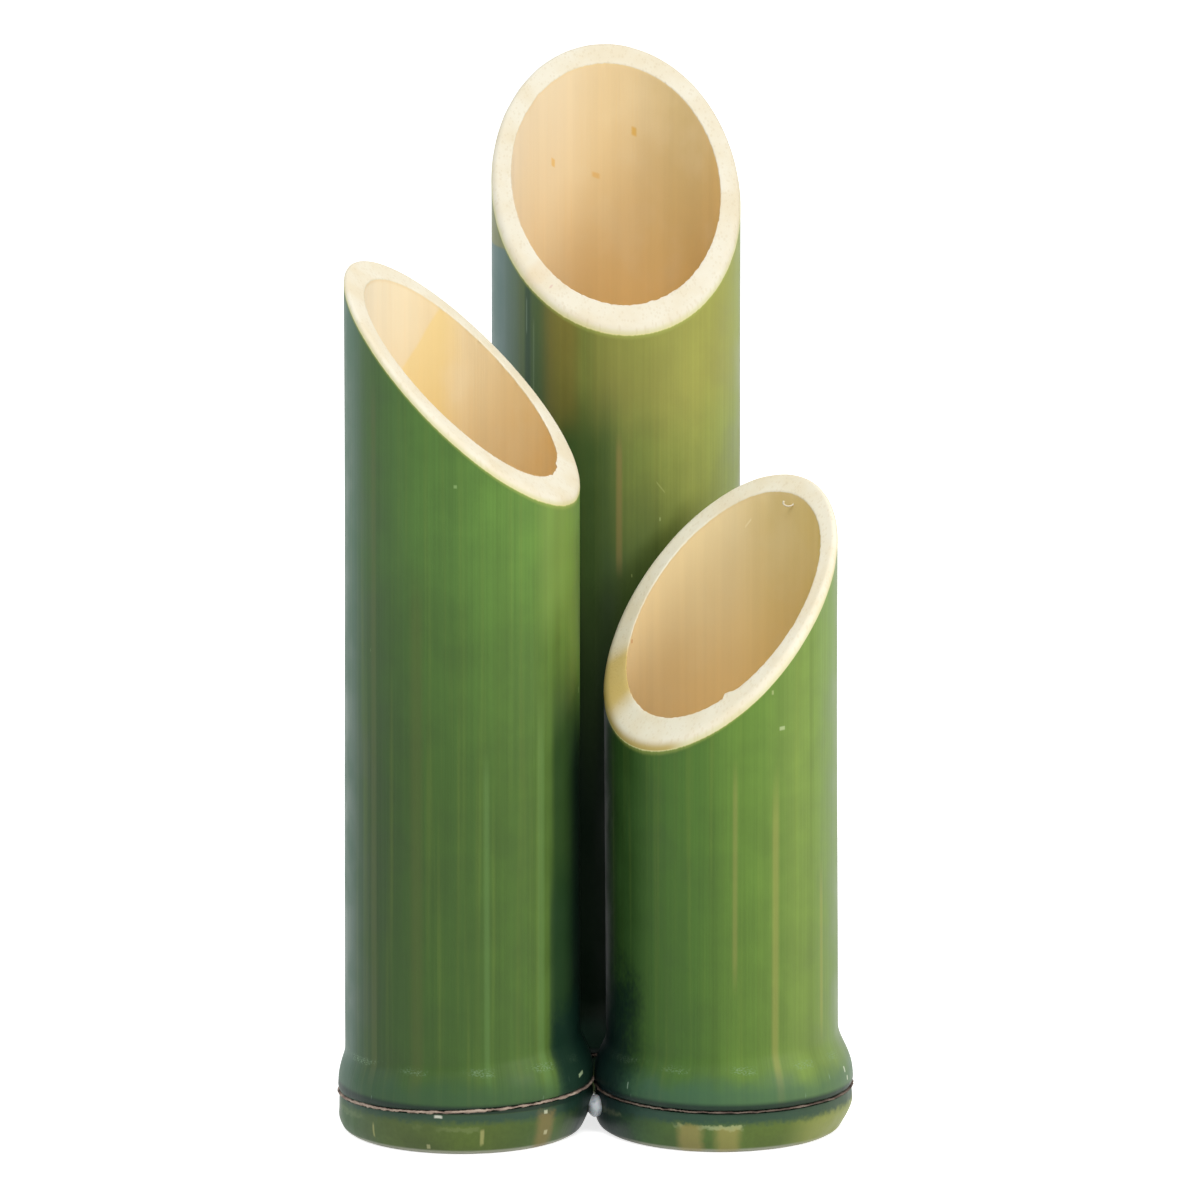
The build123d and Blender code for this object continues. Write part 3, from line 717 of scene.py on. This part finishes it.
def makeCulm(name):
    own, s = culms[name], culmShape
    mount = mounts[name + "_vessel"]
    axisX, axisY, _ = mount["pos_m"]
    mouthHeight, bore = own["mouth"], mount["dims"]["r_mm"] / 1000
    low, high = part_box(name + "_culm")
    nodeRadius = (high.x - low.x) / 2
    radius, seed = own["radius"], own["seed"]
    lean, heading = math.radians(own["angle"]), math.radians(own["heading"])
    uphill = Vector((math.cos(heading), math.sin(heading), 0))
    mouthNormal = Vector((-math.sin(lean) * uphill.x, -math.sin(lean) * uphill.y, math.cos(lean)))
    shift = Vector((*own["shift"], 0))
    flareTop = s["crest"] + s["flare"]
    outline = culmOutline(nodeRadius, radius, bore)

    mesh = bmesh.new()
    ringLayer = mesh.verts.layers.int.new("ring")
    corners = []
    for index, (wide, height, _, _) in enumerate(outline):
        corner = mesh.verts.new((0, wide, height))
        corner[ringLayer] = index
        corners.append(corner)
    lines = [mesh.edges.new(pair) for pair in zip(corners, corners[1:])]
    spinRound(mesh, corners + lines, s["steps"])

    skinLayer = mesh.verts.layers.float.new("skinStart")
    rimLayer = mesh.verts.layers.float.new("rimShare")
    flareEnd = radius - shift.length - s["flareSink"]

    def waver(around, height):  # the culm isn't quite round
        slow = noise.noise(Vector((around.x * 1.3, around.y * 1.3, height * 6 + seed)))
        quick = noise.noise(Vector((around.x * 9, around.y * 9, height * 3 + seed + 40)))
        return s["waver"] * (1.3 * slow + 0.45 * quick)

    def mouthPoint(spot):
        wave = 0.0002 * noise.noise(spot * 45 + Vector((0, 0, seed)))
        return Vector((spot.x, spot.y, mouthHeight + math.tan(lean) * (spot.x * uphill.x + spot.y * uphill.y) + wave))

    def wallPoint(around, height):  # the skin leans and tapers a little on its way up
        share = smooth(0.0, 1.0, height / mouthHeight)
        wide = radius - own["taper"] * share + waver(around, height)
        return around * wide + Vector((own["lean"][0] * share, own["lean"][1] * share, 0))

    def outerEdge(around, share):
        corner = mouthPoint(wallPoint(around, mouthHeight))
        return roundedEdge(corner, around, mouthNormal, own["setback"], share)

    def innerCorner(around, turn):
        jag = noise.noise(Vector((around.x * 34, around.y * 34, seed + 3.0)))
        jag += 0.6 * noise.noise(around * 80 + Vector((0, 0, seed)))
        return mouthPoint(around * (bore - s["ragged"] * jag - tornBy(name, turn)))

    for vert in mesh.verts:
        wide, height, kind, share = outline[vert[ringLayer]]
        flat = Vector((vert.co.x, vert.co.y, 0))
        if flat.length < 1e-6:
            continue
        around = flat.normalized()
        turn = turnOf(around.x, around.y)
        if kind in ("skirt", "sole"):
            outer = 1.0 if kind == "skirt" or wide > bore + 0.002 else 0.0
            drawn = own["footIn"] * smooth(0.0115, 0.001, height) * outer  # most on the foot's right side
            spot = around * (wide - drawn) + Vector((-drawn, 0, 0)) + shift * outer
            tilt = (own["tilt"][0] * spot.x + own["tilt"][1] * spot.y) * smooth(0.002, 0.012, height)
            bumpy = 0.00022 * noise.noise(Vector((around.x * 7, around.y * 7, height * 160 + seed)))
            bumpy *= smooth(0.0, 0.003, height)
            vert.co = spot + around * (waver(around, height) + bumpy) + Vector((0, 0, height + tilt))
        elif kind == "flare":
            rise = share * s["flare"]
            sweep = smooth(0, 1, share - s["flareSweep"] * math.sin(math.tau * share))
            flared = nodeRadius + (flareEnd - nodeRadius) * sweep + shift.dot(around)
            wall = wallPoint(around, s["crest"] + rise)
            apart, soft = flared - wall.length, 0.0006
            out = max(apart, 0.0) + max(soft - abs(apart), 0.0) ** 2 / (4 * soft)
            wave = waver(around, s["crest"] + rise) * smooth(0.0, 0.003, apart)
            tilt = (own["tilt"][0] * around.x + own["tilt"][1] * around.y) * nodeRadius * smooth(1, 0, share)
            vert.co = wall + around * (out + wave) + Vector((0, 0, s["crest"] + rise + tilt))
        elif kind == "wall":
            start = outerEdge(around, 0.0)
            rise = flareTop + (start.z - flareTop) * share
            vert.co = wallPoint(around, rise) + Vector((0, 0, rise))
            vert[skinLayer] = (start.z - rise) * math.cos(lean)
        elif kind == "rim":
            vert.co = outerEdge(around, share)
            vert[rimLayer] = 2.0 - share
        elif kind in ("flat", "lip"):
            outer = outerEdge(around, 1.0)
            along = share if kind == "lip" else 0.0
            inner = roundedEdge(innerCorner(around, turn), mouthNormal, -around, s["innerRound"], along)
            saw = 0.00008 * noise.noise(Vector((vert.co.x * 300, vert.co.y * 300, seed)))
            vert.co = inner if kind == "lip" else outer.lerp(inner, share) + mouthNormal * saw
            vert[rimLayer] = 1.0 - share if kind == "flat" else 0.0
        elif kind == "inner":
            corner = innerCorner(around, turn)
            start = roundedEdge(corner, mouthNormal, -around, s["innerRound"], 1.0)
            end = s["septumTop"] + s["floorRound"]
            share = share ** 1.6
            rise = start.z + (end - start.z) * share
            close = smooth(0.004, 0.0, start.z - rise)
            wide = bore + (Vector((corner.x, corner.y, 0)).length - bore) * close
            vert.co = around * (wide + waver(around, rise + 1.0) * (1 - close)) + Vector((0, 0, rise))
            vert[skinLayer] = (start.z - rise) * math.cos(lean)
    for vert in mesh.verts:
        if outline[vert[ringLayer]][2] in ("skirt", "sole", "recess", "flare"):
            vert[skinLayer] = 1.0
        if outline[vert[ringLayer]][2] == "bottom":
            vert[skinLayer] = 0.3
    bmesh.ops.recalc_face_normals(mesh, faces=mesh.faces)

    wrap = mesh.loops.layers.uv.new("wrap")
    cutKinds, innerKinds = ("rim", "flat", "lip", "sole"), ("inner", "bottom", "recess")
    for face in mesh.faces:
        kinds = [outline[vert[ringLayer]][2] for vert in face.verts]
        if any(kind in innerKinds for kind in kinds):
            face.material_index = 2
        elif all(kind in cutKinds for kind in kinds):
            face.material_index = 1
        turns = [turnOf(loop.vert.co.x, loop.vert.co.y) for loop in face.loops]
        wraps = max(turns) - min(turns) > 0.5
        for loop, turn in zip(face.loops, turns):
            loop[wrap].uv = (turn + 1.0 if wraps and turn < 0.5 else turn, loop.vert.co.z)
    for edge in mesh.edges:
        edge.smooth = edge.calc_face_angle(0.0) < math.radians(38)
    bmesh.ops.translate(mesh, verts=mesh.verts, vec=(axisX, axisY, 0))
    finishPiece(mesh, name + "Culm", [
        makeSkin(name, skins[name], footMarks[name]),
        makeCutWood(name, rimStains[name], edgeStains[name]),
        makeInnerWall(name, inners[name]),
    ], name + "_culm")


# Tan patches and pale ticks on the feet, and painted shade in the crevice where the left and right feet face each
# other, in the same terms as the skin's marks
footMarks = {
    "left": [
        # painted shade, in the next two marks: the crevice on the left foot's right side
        (0.77, 0.118, 0.0168, 0.045, 0.026, 0.015, colour(14, 40, 32), 0.8),
        (0.77, 0.075, 0.0, 0.0168, 0.035, 0.001, colour(14, 38, 30), 0.75),
        (0.613, 0.005, 0.0, 0.0125, 0.014, 0.004, colour(142, 122, 76), 0.6),
        (0.612, 0.0018, 0.0144, 0.0152, 0.0016, 0.0006, colour(206, 208, 178), 0.7),
        (0.615, 0.0018, 0.0060, 0.0068, 0.0016, 0.0008, colour(204, 200, 160), 0.65),
        (0.376, 0.0006, 0.0050, 0.0085, 0.0018, 0.0016, colour(176, 172, 112), 0.5),
        (0.526, 0.0012, 0.0050, 0.0095, 0.0024, 0.0016, colour(184, 180, 118), 0.55),
        (0.457, 0.0012, 0.0024, 0.0034, 0.0018, 0.0008, colour(190, 188, 140), 0.55),
        (0.471, 0.0036, 0.0150, 0.0156, 0.0030, 0.0005, colour(226, 228, 212), 0.75),
        (0.682, 0.005, 0.0250, 0.0258, 0.002, 0.0005, colour(170, 190, 150), 0.75, 0.08),
    ],
    "right": [
        # painted shade: the crevice on the right foot's left side
        (0.25, 0.08, 0.0, 0.04, 0.07, 0.04, colour(8, 28, 30), 0.85),
        (0.458, 0.008, 0.0, 0.0095, 0.014, 0.003, colour(166, 150, 92), 0.55),
        (0.505, 0.008, 0.0, 0.0095, 0.014, 0.003, colour(168, 156, 92), 0.55),
        (0.68, 0.05, 0.0, 0.0085, 0.05, 0.004, colour(150, 156, 84), 0.5),
        (0.367, 0.0004, 0.0222, 0.0240, 0.001, 0.0006, colour(150, 176, 156), 0.6),
        (0.695, 0.0012, 0.0245, 0.0262, 0.001, 0.0005, colour(214, 220, 196), 0.7),
        (0.700, 0.0012, 0.0212, 0.0224, 0.001, 0.0005, colour(214, 220, 196), 0.7),
    ],
    "tall": [],
}
rimStains = {
    "left": [],
    "right": [(0.26, 0.025, 0.1690, 0.185, 0.04, 0.003, colour(206, 176, 88), 0.85, -0.12)],
    "tall": [
        (0.383, 0.006, 0.3180, 0.3210, 0.012, 0.004, colour(212, 190, 152), 0.4),
        (0.4055, 0.0008, 0.3149, 0.3154, 0.001, 0.0005, colour(196, 156, 146), 0.5),
    ],
}
edgeStains = {  # the same along the mouth's outer edge only
    "left": [], "right": [(0.28, 0.13, 0.1, 0.185, 0.04, 0.008, colour(182, 152, 58), 0.75)], "tall": [],
}


# A curled sliver on the right culm's inner wall, near the mouth's highest point

splinter = {
    "turn": 0.876, "height": 0.2372, "sunk": 0.45, "curl": 0.0021, "thick": 0.0004, "flat": 0.7, "bend": 200.0,
    "length": 0.0012, "steps": 18, "roll": 8.0,
}


def makeSplinter():
    look, mount = splinter, mounts["right_vessel"]
    angle = look["turn"] * math.tau
    reach = mount["dims"]["r_mm"] / 1000 - look["curl"] * look["sunk"]
    axisX, axisY, _ = mount["pos_m"]
    place = Vector((axisX - math.sin(angle) * reach, axisY + math.cos(angle) * reach, look["height"]))
    mesh = bmesh.new()
    bmesh.ops.create_circle(mesh, cap_ends=False, segments=10, radius=look["thick"])
    bmesh.ops.translate(mesh, verts=mesh.verts, vec=(look["curl"], 0, 0))
    bmesh.ops.spin(
        mesh, geom=mesh.verts[:] + mesh.edges[:], cent=(0, 0, 0), axis=(0, 1, 0),
        dvec=(0, -look["length"] / look["steps"], 0), angle=math.radians(look["bend"]), steps=look["steps"],
        use_merge=False,
    )
    bmesh.ops.holes_fill(mesh, edges=mesh.edges, sides=0)
    bmesh.ops.recalc_face_normals(mesh, faces=mesh.faces)
    turned = Matrix.Scale(look["flat"], 4, (0, 0, 1)) @ Matrix.Rotation(math.radians(look["roll"]), 4, "Y")
    bmesh.ops.transform(mesh, matrix=Matrix.Translation(place) @ turned, verts=mesh.verts)
    finishPiece(mesh, "rightSplinter", [makeCutWood("splinter", [], [])])


# Dried sheath stubs: a ragged fibrous ring in each node's groove

sheathLook = {
    "steps": 420, "low": 0.0156, "high": 0.0171, "depth": 0.0021, "proud": 0.0004, "ragged": 0.00032,
    "thin": {"left": 0.9, "right": 0.5, "tall": 0.7}, "light": {"left": 0.85, "right": 0.42, "tall": 0.6},
    "tones": [
        (0.30, colour(96, 82, 76)), (0.42, colour(150, 130, 118)), (0.6, colour(188, 168, 152)),
        (0.78, colour(206, 194, 178)),
    ],
    "cloud": (160.0, 5.0), "fibres": (1500.0, 3.0), "bump": (0.6, 0.0002),
}


def makeSheathMaterial(name):
    look = sheathLook
    material, tree, shader = newMaterial(name + "DriedSheath", {"Roughness": 0.85, "Specular IOR Level": 0.2})
    place = objectPlace(tree, (1, 1, 3))
    base = ramp(tree, noiseAt(tree, place, *look["cloud"]), look["tones"])
    fine = noiseAt(tree, place, *look["fibres"])
    rough = band(tree, fine, 0.3, 0.7, 0.75, 0.95)
    dress(tree, shader, shade(tree, base, look["light"][name]), rough, fine, *look["bump"])
    return material


def makeSheathStub(name):
    own, look = culms[name], sheathLook
    low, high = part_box(name + "_sheath_stub")
    outer = (high.x - low.x) / 2
    centreX, centreY = (high.x + low.x) / 2, (high.y + low.y) / 2
    inner, middle = outer - look["depth"] + look["proud"], (look["low"] + look["high"]) / 2
    half = (look["high"] - look["low"]) / 2 * look["thin"][name]
    mesh = bmesh.new()
    corners = [mesh.verts.new((0, wide, height)) for wide, height in (
        (inner, middle - half), (outer - 0.0005, middle - half), (outer - 0.0001, middle - half * 0.6),
        (outer + look["proud"], middle), (outer - 0.0001, middle + half * 0.6), (outer - 0.0005, middle + half),
        (inner, middle + half),
    )]
    lines = [mesh.edges.new(pair) for pair in zip(corners, corners[1:] + corners[:1])]
    spinRound(mesh, corners + lines, look["steps"])
    bmesh.ops.recalc_face_normals(mesh, faces=mesh.faces)
    for vert in mesh.verts:
        around = Vector((vert.co.x, vert.co.y, 0)).normalized()
        spot = around * 16 + Vector((0, 0, own["seed"]))
        thick = 0.72 + 0.5 * noise.noise(spot * 0.7) + 0.35 * noise.noise(spot * 3)
        sway = look["ragged"] * (noise.noise(spot + Vector((5, 5, 5))) + 0.7 * noise.noise(spot * 4))
        tilt = own["tilt"][0] * vert.co.x + own["tilt"][1] * vert.co.y
        vert.co.z = middle + (vert.co.z - middle) * max(thick, 0.25) + sway + tilt
        if Vector((vert.co.x, vert.co.y, 0)).length > inner + 0.001:
            vert.co += around * (0.0004 * noise.noise(spot * 5 + Vector((0, 0, vert.co.z * 2000))))
    bmesh.ops.translate(mesh, verts=mesh.verts, vec=(centreX, centreY, 0))
    finishPiece(mesh, name + "SheathStub", [makeSheathMaterial(name)], name + "_sheath_stub")


# Glue: milky beads squeezed out between the feet

glueBeads = {  # half sizes along the gap, outwards and up, and how far the bead moves outwards and down
    "left_right_glue": {"half": (0.0036, 0.0062, 0.0041), "out": 0.0018, "down": 0.0006, "seed": 3},
    "right_tall_glue": {"half": (0.0030, 0.0062, 0.0038), "out": 0.0, "down": 0.0, "seed": 8},
    "left_tall_glue": {"half": (0.0086, 0.0072, 0.0052), "out": None, "down": 0.0, "seed": 12},
}


glueLook = {
    "tones": [(0.3, colour(186, 196, 204)), (0.55, colour(208, 216, 222)), (0.8, colour(224, 228, 228))],
    "cloud": (260.0, 4.0), "bump": (0.3, 0.0003),
}


def makeGlueMaterial():
    material, tree, shader = newMaterial("milkyGlue", {
        "Roughness": 0.3, "Specular IOR Level": 0.5, "Coat Weight": 0.2,
        "Subsurface Weight": 0.15, "Subsurface Scale": 0.002,
    })
    cloud = noiseAt(tree, objectPlace(tree), *glueLook["cloud"])
    base, rough = ramp(tree, cloud, glueLook["tones"]), band(tree, cloud, 0.3, 0.7, 0.24, 0.42)
    dress(tree, shader, base, rough, cloud, *glueLook["bump"])
    return material


def makeGlueBead(node, material):
    look = glueBeads[node]
    first, second = node.split("_")[:2]
    start, end = Vector(mounts[first + "_vessel"]["pos_m"]), Vector(mounts[second + "_vessel"]["pos_m"])
    along = Vector((end.x - start.x, end.y - start.y, 0)).normalized()
    outwards = along.cross(Vector((0, 0, 1)))
    low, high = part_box(node)
    centre = (low + high) / 2
    if look["out"] is not None:  # the bead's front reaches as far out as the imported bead's
        corners = (low, high, Vector((low.x, high.y, 0)), Vector((high.x, low.y, 0)))
        edge = max((corner - centre).dot(outwards) for corner in corners)
        centre = centre + outwards * (edge - look["half"][1] * 0.9 + look["out"]) - Vector((0, 0, look["down"]))
    mesh = bmesh.new()
    bmesh.ops.create_icosphere(mesh, subdivisions=5, radius=1.0)
    frameOf = Matrix((along, outwards, Vector((0, 0, 1)))).transposed().to_4x4()
    for vert in mesh.verts:
        lump = 1 + 0.09 * noise.noise(vert.co * 1.7 + Vector((look["seed"], 0, 0)))
        vert.co = Vector(tuple(c * h for c, h in zip(vert.co * lump, look["half"])))
    bmesh.ops.transform(mesh, matrix=Matrix.Translation(centre) @ frameOf, verts=mesh.verts)
    finishPiece(mesh, node + "Bead", [material], node)


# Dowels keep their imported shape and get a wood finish

dowelLook = {
    "tones": [(0.3, colour(176, 146, 98)), (0.55, colour(206, 178, 128)), (0.8, colour(222, 198, 150))],
    "rings": (420.0, 5.0), "bump": (0.3, 0.0002),
}


def finishDowels():
    material, tree, shader = newMaterial("dowelWood", {"Roughness": 0.6, "Specular IOR Level": 0.3})
    rings = noiseAt(tree, objectPlace(tree), *dowelLook["rings"])
    base, rough = ramp(tree, rings, dowelLook["tones"]), band(tree, rings, 0.3, 0.7, 0.52, 0.7)
    dress(tree, shader, base, rough, rings, *dowelLook["bump"])
    for name, node in frame["nodes"].items():
        if name.endswith("_dowel"):
            for spot in node.material_slots:
                spot.material = material
            print("dressed", name, "slots", len(node.material_slots))
    print("finished the dowels")


# Studio: pale floor and world, a large soft lamp from the right, a weak cool one from the left

studio = {
    "worldStrength": 0.42, "floorHalf": 9.0,
    "lamps": [
        ("sideLamp", (2.1, -1.3, 1.1), 1.2, 26.0, (1.0, 0.985, 0.95)),
        ("topLamp", (0.4, -1.3, 2.5), 1.4, 34.0, (1.0, 0.985, 0.965)),
        ("fillLamp", (-0.9, -1.2, 2.3), 1.4, 11.0, (1.0, 0.99, 0.98)),
        ("coolLamp", (-2.2, -0.2, 1.0), 1.4, 10.0, (0.82, 0.92, 1.0)),
    ],
    "aim": (0.0, 0.0, 0.18), "floorTone": grey(0.8), "floorGlow": 0.75,
}


def cameraLike(tree):  # rays that see the white background: camera, mirror and glass rays
    path = addNode(tree, "ShaderNodeLightPath").outputs
    either = calc(tree, "MAXIMUM", path["Is Camera Ray"], path["Is Glossy Ray"])
    return calc(tree, "MAXIMUM", either, path["Is Transmission Ray"])


def makeStudio():
    world = bpy.data.worlds.new("paleStudio")
    world.use_nodes = True
    scene.world = world
    tree = world.node_tree
    strength = band(tree, cameraLike(tree), 0.0, 1.0, studio["worldStrength"], 1.0)
    backdrop = tree.nodes["Background"]
    backdrop.inputs[0].default_value = grey(1.0)
    tree.links.new(strength, backdrop.inputs[1])
    mesh = bmesh.new()
    bmesh.ops.create_grid(mesh, x_segments=2, y_segments=2, size=studio["floorHalf"])
    bmesh.ops.translate(mesh, verts=mesh.verts, vec=(0, 0, -0.0002))
    data = bpy.data.meshes.new("paleFloorMesh")
    mesh.to_mesh(data)
    mesh.free()
    floor = bpy.data.objects.new("paleFloor", data)
    scene.collection.objects.link(floor)
    material, tree, shader = newMaterial("paleFloor", {
        "Base Color": studio["floorTone"], "Roughness": 0.9, "Specular IOR Level": 0.1, "Emission Color": grey(1.0),
    })
    glow = band(tree, cameraLike(tree), 0.0, 1.0, 0.0, studio["floorGlow"])
    tree.links.new(glow, shader.inputs["Emission Strength"])
    data.materials.append(material)
    for name, place, size, power, tone in studio["lamps"]:
        lamp = bpy.data.lights.new(name, "AREA")
        lamp.size, lamp.energy, lamp.color = size, power, tone
        holder = bpy.data.objects.new(name, lamp)
        holder.location = place
        aim = Vector(studio["aim"]) - Vector(place)
        holder.rotation_euler = aim.to_track_quat("-Z", "Y").to_euler()
        scene.collection.objects.link(holder)
    scene.view_settings.view_transform = "Standard"
    print("made the studio")


makeCamera()
for culmName in culms:
    makeCulm(culmName)
makeSplinter()
for culmName in culms:
    makeSheathStub(culmName)
glueMaterial = makeGlueMaterial()
for beadName in glueBeads:
    makeGlueBead(beadName, glueMaterial)
finishDowels()
makeStudio()
